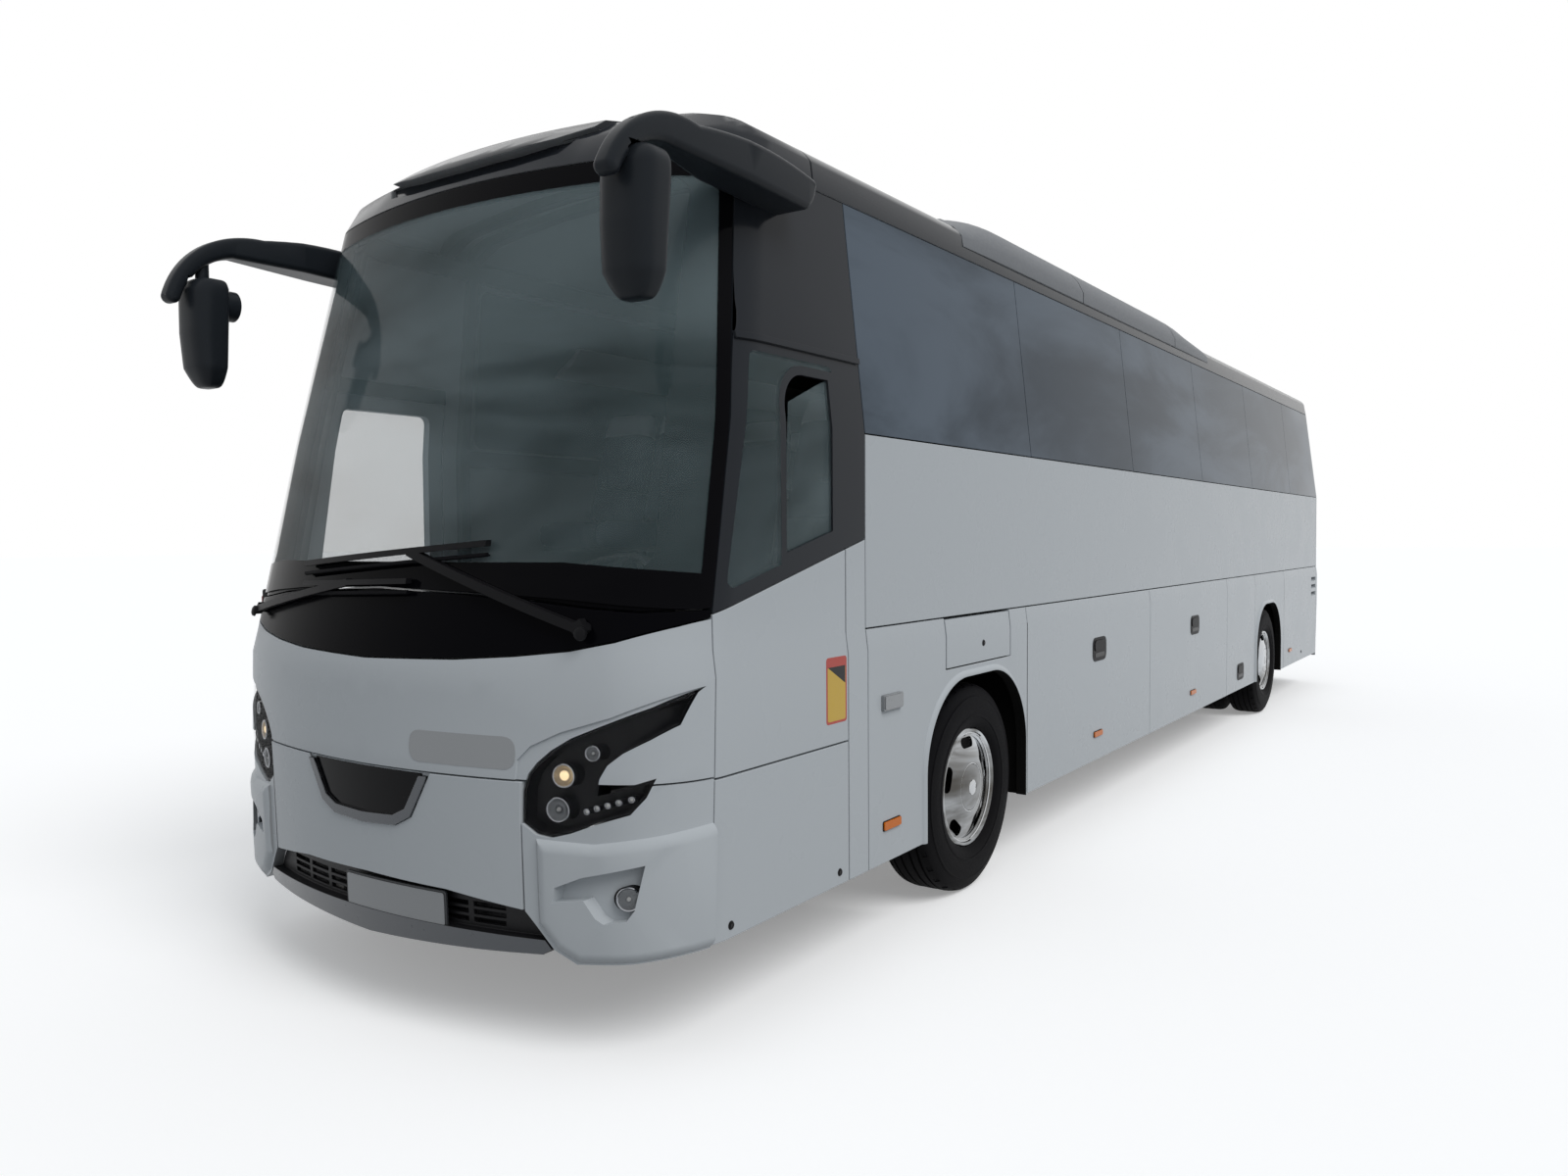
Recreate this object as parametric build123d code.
from build123d import *
from functools import lru_cache
import math
import os

os.makedirs("parts", exist_ok=True)

# A twelve metre coach bus. X points to its left, the front faces -Y and Z is up from the road.
# All sizes are in millimetres. Places along the bus are measured back from the front axle.

# Overall sizes
LENGTH = 12400
WIDTH = 2550
WHEELBASE = 6850
FRONT_OVERHANG = 2630
MIRROR_REACH = 20
ROOF_HEIGHT = 3450
SILL_HEIGHT = 370
WAIST_HEIGHT = 1395
WINDOW_SILL = 2210
WINDOW_TOP = 3175

# Skin, glass and gaps
SKIN = 45
GLASS = 10
SEAM = 6
DOOR_GAP = 8
LID_GAP = 7
PLATE = 30
PIN_FIT = 1

# Wheels
TYRE_RADIUS = 522
TYRE_WIDTH = 295
RIM_RADIUS = 300
WHEEL_FACE_IN = 20
TWIN_SPACING = 345
ARCH_TOP = 1095
ARCH_ROUND = 430
ARCH_LIP = 34
ARCH_OUT = 14
FRAME_DEPTH = 40
STRUT_DEPTH = 30
LAMP_DEPTH = 70
KINGPIN_IN = 345
KINGPIN_RADIUS = 28
HUB_RADIUS = 95
SPINDLE_RADIUS = 45

# Places along the bus, back from the front axle
CAB_REAR = -1240
PILLAR_REAR = -1080
FRONT_ARCH_REAR = 648
LOCKER_SHARE = 0.402
REAR_ARCH_LEAD = 600
REAR_ARCH_TAIL = 770
FRONT_ARCH = (-565, 600)
REAR_ARCH = (-560, 560)
CORNER_LENGTH = 270
PANE_PITCH = 1805
PANES = 6

# Inside
FLOOR_TOP = 1430
CAB_FLOOR_TOP = 1030
BAY_FLOOR_TOP = 470
RAIL_IN = 420
RAIL_WIDTH = 80
LOW_RAIL_TOP = 440
HIGH_RAIL_TOP = 760
REAR_RAIL_TOP = 800
RAIL_DEPTH = 120
BOX_HALF = 640
BOX_INNER = 580
BOX_TOP = 1140
BOX_PLATE = 20

# Worked out from the sizes above
NOSE_Y = MIRROR_REACH - (LENGTH + MIRROR_REACH) / 2
TAIL_Y = NOSE_Y + LENGTH
FRONT_AXLE_Y = NOSE_Y + FRONT_OVERHANG
REAR_AXLE_Y = FRONT_AXLE_Y + WHEELBASE
SIDE_X = WIDTH / 2
AXLE_Z = TYRE_RADIUS
WHEEL_X = SIDE_X - WHEEL_FACE_IN - TYRE_WIDTH / 2
LOCKER_LENGTH = (WHEELBASE - REAR_ARCH_LEAD - FRONT_ARCH_REAR) * LOCKER_SHARE
SEAM_1 = FRONT_AXLE_Y + FRONT_ARCH_REAR
SEAM_2 = SEAM_1 + LOCKER_LENGTH
SEAM_3 = SEAM_2 + LOCKER_LENGTH
SEAM_4 = REAR_AXLE_Y - REAR_ARCH_LEAD
SEAM_5 = REAR_AXLE_Y + REAR_ARCH_TAIL
SEAM_6 = TAIL_Y - CORNER_LENGTH
CAB_REAR_Y = FRONT_AXLE_Y + CAB_REAR
PILLAR_REAR_Y = FRONT_AXLE_Y + PILLAR_REAR

# The body seen in slices from below to above
# height, nose back from the foremost point, side in from the full width, tail in from the rear
BODY_LEVELS = (
    (290, 20, 0, 60),
    (960, 0, 0, 0),
    (1300, 10, 0, 0),
    (WAIST_HEIGHT, 34, 12, 0),
    (WINDOW_SILL, 238, 12, 30),
    (WINDOW_TOP, 479, 117, 170),
    (3290, 550, 132, 215),
    (3390, 700, 155, 300),
    (ROOF_HEIGHT + 10, 1000, 180, 480),
)
FRONT_RADIUS = 2850
CORNER_RADIUS = 400
REAR_RADIUS = 230
ROOF_EDGE_IN = 105
ROOF_EDGE_Z = 3205


def box(x0, x1, y0, y1, z0, z1):
    middle = Pos((x0 + x1) / 2, (y0 + y1) / 2, (z0 + z1) / 2)
    return middle * Box(abs(x1 - x0), abs(y1 - y0), abs(z1 - z0))


def both(piece):
    return [piece, piece.mirror(Plane.YZ)]


def side_cut(points, x0, x1, round_by=0):
    # a slab along X whose outline is given as (y, z)
    face = make_face(Polyline(*points, close=True))
    if round_by > 0:
        face = fillet(face.vertices(), round_by)
    face = Pos(x0, 0, 0) * (Plane.YZ * face)
    return extrude(face, amount=x1 - x0, dir=(1, 0, 0))


def through_side(face):
    # a slab through the left side wall from a face drawn in the YZ plane
    face = Pos(SIDE_BAND[0], 0, 0) * (Plane.YZ * face)
    return extrude(face, amount=SIDE_BAND[1] - SIDE_BAND[0], dir=(1, 0, 0))


def front_cut(points, y0, y1, round_by=0):
    # a slab along Y whose outline is given as (x, z)
    face = make_face(Polyline(*points, close=True))
    if round_by > 0:
        face = fillet(face.vertices(), round_by)
    face = Pos(0, y0, 0) * (Plane.XZ * face)
    return extrude(face, amount=y1 - y0, dir=(0, 1, 0))


def upright(x, y, z0, z1, radius):
    return Pos(x, y, (z0 + z1) / 2) * Cylinder(radius, z1 - z0)


def across(x0, x1, y, z, radius):
    return Pos((x0 + x1) / 2, y, z) * Rot(0, 90, 0) * Cylinder(radius, abs(x1 - x0))


def lengthways(x, y0, y1, z, radius):
    return Pos(x, (y0 + y1) / 2, z) * Rot(90, 0, 0) * Cylinder(radius, abs(y1 - y0))


def body_slice(level, inset):
    height, nose_back, side_in, tail_in = level
    half = SIDE_X - side_in - inset
    nose = NOSE_Y + nose_back + inset
    tail = TAIL_Y - tail_in - inset
    big = FRONT_RADIUS - inset
    small = CORNER_RADIUS - inset
    rear = REAR_RADIUS - inset
    reach = half - small
    big_y = nose + big
    small_y = big_y - math.sqrt((big - small) ** 2 - reach**2)
    turn = math.atan2(reach, big_y - small_y)
    half_turn = (turn + math.pi / 2) / 2
    join = (big * math.sin(turn), big_y - big * math.cos(turn))
    bend = (reach + small * math.sin(half_turn), small_y - small * math.cos(half_turn))
    rear_bend = (half - rear + rear * math.sqrt(0.5), tail - rear + rear * math.sqrt(0.5))
    outline = ThreePointArc((-join[0], join[1]), (0, nose), join)
    outline += ThreePointArc(join, bend, (half, small_y))
    outline += Line((half, small_y), (half, tail - rear))
    outline += ThreePointArc((half, tail - rear), rear_bend, (half - rear, tail))
    outline += Line((half - rear, tail), (rear - half, tail))
    outline += ThreePointArc((rear - half, tail), (-rear_bend[0], rear_bend[1]), (-half, tail - rear))
    outline += Line((-half, tail - rear), (-half, small_y))
    outline += ThreePointArc((-half, small_y), (-bend[0], bend[1]), (-join[0], join[1]))
    return Pos(0, 0, height) * make_face(outline)


@lru_cache(maxsize=None)
def body_form(inset):
    # the whole outer form of the bus, pulled in on every side by the inset
    form = loft([body_slice(level, inset) for level in BODY_LEVELS], ruled=True)
    edge = SIDE_X - ROOF_EDGE_IN - inset
    top = ROOF_HEIGHT - inset
    roof = Polyline(
        (-edge, ROOF_EDGE_Z),
        (-WIDTH, ROOF_EDGE_Z),
        (-WIDTH, 0),
        (WIDTH, 0),
        (WIDTH, ROOF_EDGE_Z),
        (edge, ROOF_EDGE_Z),
    )
    roof += ThreePointArc((edge, ROOF_EDGE_Z), (edge - 50, top - 130), (edge - 180, top - 70))
    roof += ThreePointArc((edge - 180, top - 70), (0, top), (180 - edge, top - 70))
    roof += ThreePointArc((180 - edge, top - 70), (50 - edge, top - 130), (-edge, ROOF_EDGE_Z))
    crown = Pos(0, NOSE_Y - 100, 0) * (Plane.XZ * make_face(roof))
    return form & extrude(crown, amount=LENGTH + 200, dir=(0, 1, 0))


OUTER = body_form(0)
GLASS_BACK = body_form(GLASS)
ROOM = body_form(SKIN)
SKIN_SHELL = OUTER - ROOM
GLASS_SHELL = OUTER - GLASS_BACK
FRAME_SHELL = GLASS_BACK - ROOM

SAVED = []


def save(name, pieces):
    solids = []
    for piece in pieces:
        solids.extend(piece.solids())
    export_step(Compound(label=name, children=solids), "parts/" + name + ".step")
    SAVED.append((name, len(solids)))


# The seam between the front mask and the sides leans back with height: place, height
MASK_SEAM = (
    (-2155, 200),
    (-2110, 1520),
    (-1830, 2970),
    (-1790, WINDOW_TOP + 3),
)


def mask_seam(shift):
    return [(FRONT_AXLE_Y + place + shift, height) for place, height in MASK_SEAM]


def seam_place(height):
    for low, high in zip(MASK_SEAM, MASK_SEAM[1:]):
        if low[1] <= height <= high[1]:
            share = (height - low[1]) / (high[1] - low[1])
            return FRONT_AXLE_Y + low[0] + share * (high[0] - low[0])
    return FRONT_AXLE_Y + MASK_SEAM[-1][0]


AHEAD = side_cut([(NOSE_Y - 50, 200)] + mask_seam(-SEAM / 2) + [(NOSE_Y - 50, WINDOW_TOP + 3)], -WIDTH, WIDTH)
BEHIND = side_cut([(TAIL_Y + 50, 200)] + mask_seam(SEAM / 2) + [(TAIL_Y + 50, WINDOW_TOP + 3)], -WIDTH, WIDTH)
SIDE_BAND = (SIDE_X - 350, SIDE_X + 50)

# ---------------------------------------------------------------- side panels
WHITE_LINE = ((seam_place(1517), 1517), (PILLAR_REAR_Y, 1772))


def side_panel(y0, y1, z0, z1):
    return SKIN_SHELL & box(*SIDE_BAND, y0 + SEAM / 2, y1 - SEAM / 2, z0, z1)


def arch_cut(axle_y, arch, grow):
    # a slab through the side with two rounded upper corners
    front = axle_y + arch[0] - grow
    rear = axle_y + arch[1] + grow
    top = ARCH_TOP + grow
    face = make_face(Polyline((front, 0), (front, top), (rear, top), (rear, 0), close=True))
    face = fillet(face.vertices().group_by(Axis.Y)[-1], ARCH_ROUND + grow)
    return through_side(face)


def arch_flare(axle_y, arch):
    # a rounded lip that stands out from the panel round the wheel
    lip = box(SIDE_X - SKIN, SIDE_X + ARCH_OUT, axle_y - 1000, axle_y + 1000, SILL_HEIGHT, WAIST_HEIGHT)
    lip = lip & arch_cut(axle_y, arch, ARCH_LIP)
    middle = arch_cut(axle_y, arch, ARCH_LIP / 2)
    rim_lines = []
    for line in lip.edges().group_by(Axis.X)[-1]:
        if (line @ 0.5).Z > SILL_HEIGHT + 1 and not middle.is_inside(line @ 0.5):
            rim_lines.append(line)
    return fillet(rim_lines, ARCH_LIP - 4) - arch_cut(axle_y, arch, 0)


PANEL_TOP = WAIST_HEIGHT - SEAM / 2
CAB_FLAP_TOP = 944
LINE_SLOPE = (WHITE_LINE[1][1] - WHITE_LINE[0][1]) / (WHITE_LINE[1][0] - WHITE_LINE[0][0])


def white_line(y, shift):
    return (y, WHITE_LINE[0][1] + (y - WHITE_LINE[0][0]) * LINE_SLOPE + shift)


arch_front = side_panel(PILLAR_REAR_Y, SEAM_1, SILL_HEIGHT, PANEL_TOP) - arch_cut(FRONT_AXLE_Y, FRONT_ARCH, 0)
arch_front = arch_front + arch_flare(FRONT_AXLE_Y, FRONT_ARCH)
arch_rear = side_panel(SEAM_4, SEAM_5, SILL_HEIGHT, PANEL_TOP) - arch_cut(REAR_AXLE_Y, REAR_ARCH, 0)
arch_rear = arch_rear + arch_flare(REAR_AXLE_Y, REAR_ARCH)
low_panel = side_panel(SEAM_3, SEAM_4, SILL_HEIGHT, PANEL_TOP)
strip = SKIN_SHELL & side_cut(
    [
        (CAB_REAR_Y + SEAM / 2, SILL_HEIGHT),
        (PILLAR_REAR_Y - SEAM / 2, SILL_HEIGHT),
        white_line(PILLAR_REAR_Y - SEAM / 2, -3),
        white_line(CAB_REAR_Y + SEAM / 2, -3),
    ],
    *SIDE_BAND,
)
cab_panel = SKIN_SHELL & side_cut(
    [
        (seam_place(960) + SEAM / 2, CAB_FLAP_TOP + LID_GAP),
        (CAB_REAR_Y - SEAM / 2, CAB_FLAP_TOP + LID_GAP),
        white_line(CAB_REAR_Y - SEAM / 2, -3),
        white_line(seam_place(1517) + SEAM / 2, -3),
    ],
    *SIDE_BAND,
) & BEHIND

# the fuel flap in the front left arch panel
FUEL_FLAP = (FRONT_AXLE_Y - 341, FRONT_AXLE_Y + 414, 1154, 1385)
fuel_flap = side_panel(*FUEL_FLAP)
fuel_front = FUEL_FLAP[0] - LID_GAP
fuel_rear = FUEL_FLAP[1] + LID_GAP
fuel_hole = box(*SIDE_BAND, fuel_front, fuel_rear, FUEL_FLAP[2] - LID_GAP, WAIST_HEIGHT)

waist_left = side_panel(PILLAR_REAR_Y, SEAM_6, WAIST_HEIGHT + LID_GAP / 2, WINDOW_SILL - SEAM / 2)

# the middle door stands in the right side, between the lockers and the rear arch
MID_DOOR = (SEAM_3, SEAM_4, SILL_HEIGHT, WINDOW_SILL - SEAM / 2)
mid_hole = box(-SIDE_BAND[1], -SIDE_BAND[0], MID_DOOR[0], MID_DOOR[1], 200, MID_DOOR[3] + 1)
waist_right = waist_left.mirror(Plane.YZ) - mid_hole

save("side_panels_left", [arch_front - fuel_hole, arch_rear, low_panel, strip, cab_panel, waist_left])
save(
    "side_panels_right",
    [arch_front.mirror(Plane.YZ), arch_rear.mirror(Plane.YZ), strip.mirror(Plane.YZ), waist_right],
)
save("fuel_flap", [fuel_flap])

# ---------------------------------------------------------------- windows of both sides
DRIVER_PANE_TOP = 2510
PILLAR_WIDTH = 45
SILL_HIDE = 60
PANE_ENDS = [PILLAR_REAR_Y + PANE_PITCH * number for number in range(PANES)] + [SEAM_6 + 80]
BAND = (WINDOW_SILL + SEAM / 2, WINDOW_TOP - SEAM / 2)

side_frame = FRAME_SHELL & box(*SIDE_BAND, PILLAR_REAR_Y + SEAM / 2, PANE_ENDS[-1], BAND[0], BAND[1])
panes = []
for start, end in zip(PANE_ENDS, PANE_ENDS[1:]):
    panes.append(GLASS_SHELL & box(*SIDE_BAND, start + SEAM / 2, end - SEAM / 2, BAND[0], BAND[1]))
    corners = [
        (start + PILLAR_WIDTH, BAND[0] + SILL_HIDE),
        (end - PILLAR_WIDTH, BAND[0] + SILL_HIDE),
        (end - PILLAR_WIDTH, BAND[1] - SILL_HIDE),
        (start + PILLAR_WIDTH, BAND[1] - SILL_HIDE),
    ]
    side_frame = side_frame - side_cut(corners, *SIDE_BAND, round_by=60)

# beside the driver: a black frame that carries the lower pane, with a black panel above it
cab_frame_outline = [
    white_line(seam_place(1517) + SEAM / 2, 3),
    white_line(PILLAR_REAR_Y - SEAM / 2, 3),
    (PILLAR_REAR_Y - SEAM / 2, BAND[1]),
    (seam_place(BAND[1]) + SEAM / 2, BAND[1]),
    (seam_place(2970) + SEAM / 2, 2970),
]
cab_frame = SKIN_SHELL & side_cut(cab_frame_outline, *SIDE_BAND) & BEHIND
pane_front = seam_place(1560) + 60
pane_outline = [
    white_line(pane_front, 60),
    white_line(CAB_REAR_Y - 60, 60),
    (CAB_REAR_Y - 60, DRIVER_PANE_TOP - 50),
    (seam_place(DRIVER_PANE_TOP) + 70, DRIVER_PANE_TOP - 50),
]
cab_pane = GLASS_SHELL & side_cut(pane_outline, *SIDE_BAND, round_by=30)
cab_hole = side_cut(pane_outline, *SIDE_BAND, round_by=30)
# its rear part slides: a black frame flush with the glass holds a pane that is set back
SLIDER_FRONT = FRONT_AXLE_Y - 1700
SLIDER_TOP = 2440
SLIDER_FRAME = 36
SLIDER_ROUND = 180


def slider_zone(inset):
    front = SLIDER_FRONT + inset
    rear = CAB_REAR_Y - 60 - inset
    top = SLIDER_TOP - inset
    corners = [white_line(front, 60 + inset), (front, top), (rear, top), white_line(rear, 60 + inset)]
    face = make_face(Polyline(*corners, close=True))
    face = fillet(face.vertices().sort_by(Axis.X)[:2].sort_by(Axis.Y)[-1], SLIDER_ROUND - inset)
    return through_side(face)


sliding_pane = (GLASS_BACK - body_form(2 * GLASS)) & slider_zone(SLIDER_FRAME)
cab_pane = cab_pane - slider_zone(0)
# a rain gutter crosses the frame above the window
GUTTER_OUT = 12
gutter = (body_form(-GUTTER_OUT) - GLASS_BACK) & side_cut(
    [
        (seam_place(DRIVER_PANE_TOP) + SEAM, DRIVER_PANE_TOP - 12),
        (PILLAR_REAR_Y - SEAM, DRIVER_PANE_TOP - 12),
        (PILLAR_REAR_Y - SEAM, DRIVER_PANE_TOP + 12),
        (seam_place(DRIVER_PANE_TOP) + SEAM, DRIVER_PANE_TOP + 12),
    ],
    *SIDE_BAND,
)
cab_frame_left = cab_frame - (cab_hole - slider_zone(0)) - slider_zone(SLIDER_FRAME)
cab_frame_left = (cab_frame_left - (cab_hole & body_form(2 * GLASS))) + gutter
save("window_frame_left", [side_frame, cab_frame_left])

# the right side has the front door below the black panel
DOOR_TOP = 2506
door_hole_outline = [
    (seam_place(SILL_HEIGHT) - 40, 200),
    (CAB_REAR_Y, 200),
    (CAB_REAR_Y, DOOR_TOP + DOOR_GAP),
    (seam_place(DOOR_TOP) - 40, DOOR_TOP + DOOR_GAP),
    (seam_place(1520) - 60, 1520),
]
right_hole = side_cut(door_hole_outline, -SIDE_BAND[1], -SIDE_BAND[0])
cab_frame_right = cab_frame.mirror(Plane.YZ) - right_hole
save("window_frame_right", [side_frame.mirror(Plane.YZ), cab_frame_right])

# ---------------------------------------------------------------- front door
door_outline = [
    (seam_place(SILL_HEIGHT) + DOOR_GAP, SILL_HEIGHT),
    (CAB_REAR_Y - SEAM, SILL_HEIGHT),
    (CAB_REAR_Y - SEAM, DOOR_TOP),
    (seam_place(DOOR_TOP) + DOOR_GAP, DOOR_TOP),
    (seam_place(1520) + DOOR_GAP, 1520),
]
front_door = SKIN_SHELL & side_cut(door_outline, -SIDE_BAND[1], -SIDE_BAND[0])
DOOR_RAIL = 1240
door_panes = []
for low, high in ((SILL_HEIGHT + 130, DOOR_RAIL - 60), (DOOR_RAIL + 60, DOOR_TOP - 90)):
    outline = [
        (seam_place(low) + 95, low),
        (CAB_REAR_Y - 90, low),
        (CAB_REAR_Y - 90, high),
        (seam_place(high) + 95, high),
    ]
    hole = side_cut(outline, -SIDE_BAND[1], -SIDE_BAND[0], round_by=40)
    door_panes.append(GLASS_SHELL & hole)
    front_door = front_door - hole
# a swing arm on a post behind the seam carries the door on a bracket
ARM_LENGTH = 500
ARM_Z = 1240
ARM_HALF = 30
ARM_X = -(SIDE_X - SKIN - 100)
POST_Y = seam_place(ARM_Z) + 110
BOSS_RADIUS = 34
ARM_PIN = 16


def door_parts(post_y, way):
    # a lever from the post to the door's bracket, which runs towards way along Y
    end_y = post_y + way * ARM_LENGTH
    lever = box(ARM_X - 18, ARM_X + 18, post_y, end_y, ARM_Z - ARM_HALF, ARM_Z + ARM_HALF)
    lever = lever + upright(ARM_X, post_y, ARM_Z - ARM_HALF, ARM_Z + ARM_HALF, BOSS_RADIUS)
    lever = lever + upright(ARM_X, end_y, ARM_Z - ARM_HALF, ARM_Z + ARM_HALF, BOSS_RADIUS)
    lever = lever - upright(ARM_X, post_y, ARM_Z - 80, ARM_Z + 80, ARM_PIN + PIN_FIT)
    lever = lever - upright(ARM_X, end_y, ARM_Z - 80, ARM_Z + 80, ARM_PIN + PIN_FIT)
    ear_low = (ARM_Z - ARM_HALF - 30, ARM_Z - ARM_HALF - 6)
    ear_high = (ARM_Z + ARM_HALF + 6, ARM_Z + ARM_HALF + 30)
    bracket = upright(ARM_X, end_y, ear_low[0], ear_high[1], ARM_PIN)
    for low, high in (ear_low, ear_high):
        bracket = bracket + upright(ARM_X, end_y, low, high, BOSS_RADIUS)
        bracket = bracket + box(-(SIDE_X - SKIN) - 5, ARM_X, end_y - 30, end_y + 30, low, high)
    return lever, bracket


front_lever, front_bracket = door_parts(POST_Y, 1)
front_door = front_door + (front_bracket & ROOM)
# the bracket reaches the rail between the two panes
front_post = upright(ARM_X, POST_Y, SILL_HEIGHT + PLATE / 2, ARM_Z + 120, ARM_PIN)
front_post = front_post + upright(ARM_X, POST_Y, SILL_HEIGHT + PLATE / 2, ARM_Z - ARM_HALF - 6, 26)
save("front_door", [front_door])
save("front_door_glass", door_panes)
save("front_door_arm", [front_lever])

# ---------------------------------------------------------------- middle door
mid_front = MID_DOOR[0] + DOOR_GAP
mid_rear = MID_DOOR[1] - DOOR_GAP
mid_outline = box(-SIDE_BAND[1], -SIDE_BAND[0], mid_front, mid_rear, MID_DOOR[2], MID_DOOR[3] - SEAM)
mid_door = SKIN_SHELL & mid_outline
MID_POST_Y = SEAM_4 - 120
mid_lever, mid_bracket = door_parts(MID_POST_Y, -1)
mid_post = upright(ARM_X, MID_POST_Y, SILL_HEIGHT + PLATE / 2, ARM_Z + 120, ARM_PIN)
mid_post = mid_post + upright(ARM_X, MID_POST_Y, SILL_HEIGHT + PLATE / 2, ARM_Z - ARM_HALF - 6, 26)
mid_door = mid_door + (mid_bracket & ROOM)
mid_pane_hole = side_cut(
    [
        (MID_DOOR[0] + 110, 1450),
        (MID_DOOR[1] - 110, 1450),
        (MID_DOOR[1] - 110, MID_DOOR[3] - 110),
        (MID_DOOR[0] + 110, MID_DOOR[3] - 110),
    ],
    -SIDE_BAND[1],
    -SIDE_BAND[0],
    round_by=40,
)
mid_pane = GLASS_SHELL & mid_pane_hole
save("mid_door", [mid_door - mid_pane_hole])
save("mid_door_glass", [mid_pane])
save("mid_door_arm", [mid_lever])

# ---------------------------------------------------------------- lockers, service flaps
locker_1 = side_panel(SEAM_1, SEAM_2, SILL_HEIGHT, PANEL_TOP)
locker_2 = side_panel(SEAM_2, SEAM_3, SILL_HEIGHT, PANEL_TOP)
engine_flap = side_panel(SEAM_5, SEAM_6, SILL_HEIGHT, PANEL_TOP)
# three slanted slots let warm air out at the rear of the engine's flap
LOUVRES = (1052, 1137, 1222)
LOUVRE_HEIGHT = 46
LOUVRE_RISE = 30
for low in LOUVRES:
    slot = [
        (SIDE_X - SKIN - 10, low + LOUVRE_RISE),
        (SIDE_X + 10, low),
        (SIDE_X + 10, low + LOUVRE_HEIGHT),
        (SIDE_X - SKIN - 10, low + LOUVRE_HEIGHT + LOUVRE_RISE),
    ]
    engine_flap = engine_flap - front_cut(slot, SEAM_6 - 310, SEAM_6 - 45)
cab_flap = side_panel(seam_place(400) - 100, CAB_REAR_Y, SILL_HEIGHT, CAB_FLAP_TOP) & BEHIND
save("locker_flap_left_front", [locker_1])
save("locker_flap_left_rear", [locker_2])
save("locker_flap_right_front", [locker_1.mirror(Plane.YZ)])
save("locker_flap_right_rear", [locker_2.mirror(Plane.YZ)])
save("engine_flap_left", [engine_flap])
save("engine_flap_right", [engine_flap.mirror(Plane.YZ)])
save("cab_flap_left", [cab_flap])

# ---------------------------------------------------------------- front: mask, lamps, bumper, grille
FRONT_BAND = (NOSE_Y - 60, NOSE_Y + 900)
MASK_BOTTOM = 958
FLAP_TOP = MASK_BOTTOM - LID_GAP
# half of the mask's top line and of the windscreen's bottom line: across, height
MASK_TOP_LINE = ((0, 1345), (450, 1358), (700, 1376), (900, 1398), (1050, 1430), (1200, 1480), (1300, 1522))
GLASS_LINE = ((0, 1608), (450, 1592), (723, 1572), (941, 1548), (1103, 1535), (1300, 1540))
# the lamp's outline seen from ahead, left side: across, height
LAMP_OUTLINE = (
    (1250, 1264),
    (1222, 1154),
    (1163, 1110),
    (1092, 1066),
    (1045, 1025),
    (1020, 979),
    (1008, 916),
    (1089, 940),
    (1172, 970),
    (1151, 914),
    (1110, 859),
    (1000, 822),
    (917, 788),
    (847, 768),
    (795, 775),
    (741, 812),
    (748, 923),
    (769, 979),
    (800, 1017),
    (850, 1060),
    (922, 1105),
    (1057, 1163),
    (1164, 1211),
)
# the flap between the lamps: across, height
FLAP_OUTLINE = ((741, FLAP_TOP), (735, 812), (731, 502), (411, 538), (0, 547))
GRILLE_OUTLINE = ((0, 540), (411, 531), (733, 496), (770, 455), (835, 374), (800, 352), (556, 340), (0, 318))
BUMPER_OUTLINE = (
    (741, 806),
    (741, 500),
    (780, 455),
    (845, 374),
    (925, 331),
    (1106, 343),
    (1300, 370),
    (1300, FLAP_TOP),
    (750, FLAP_TOP),
)


def mirrored(points):
    return list(points) + [(-x, z) for x, z in reversed(points) if x > 0]


top_points = list(MASK_TOP_LINE)
glass_points = list(GLASS_LINE)
left_top = [(-x, z) for x, z in reversed(top_points[1:])]
left_glass = [(-x, z) for x, z in reversed(glass_points[1:])]
mask_zone = front_cut(left_top + top_points + [(1300, MASK_BOTTOM), (-1300, MASK_BOTTOM)], *FRONT_BAND)
cowl_low = [(x, z + SEAM) for x, z in left_top + top_points]
cowl_high = [(x, z - SEAM) for x, z in reversed(left_glass + glass_points)]
cowl_zone = front_cut(cowl_low + cowl_high, *FRONT_BAND)
screen_zone = front_cut(
    left_glass + glass_points + [(1300, WINDOW_TOP - SEAM / 2), (-1300, WINDOW_TOP - SEAM / 2)], *FRONT_BAND
)
lamp_zone = front_cut(list(LAMP_OUTLINE), *FRONT_BAND)
lamp_hole = offset(make_face(Polyline(*LAMP_OUTLINE, close=True)), amount=4, kind=Kind.INTERSECTION)
lamp_hole = Pos(0, FRONT_BAND[0], 0) * (Plane.XZ * lamp_hole)
lamp_hole = extrude(lamp_hole, amount=FRONT_BAND[1] - FRONT_BAND[0], dir=(0, 1, 0))
lamp_holes = lamp_hole + lamp_hole.mirror(Plane.YZ)

# the mask dips along the upper edge of each lamp: across, height
DIP_DEPTH = 8
DIP_LINE = (
    (720, MASK_BOTTOM),
    (728, 1025),
    (778, 1076),
    (887, 1128),
    (1056, 1182),
    (1262, 1275),
    (1200, 1160),
)
dip = front_cut(list(DIP_LINE) + [(900, MASK_BOTTOM)], *FRONT_BAND) & (OUTER - body_form(DIP_DEPTH))
front_mask = (SKIN_SHELL & AHEAD & mask_zone) - lamp_holes - dip - dip.mirror(Plane.YZ)
save("front_mask", [front_mask])

front_flap = SKIN_SHELL & front_cut(mirrored(FLAP_OUTLINE), *FRONT_BAND)
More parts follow.
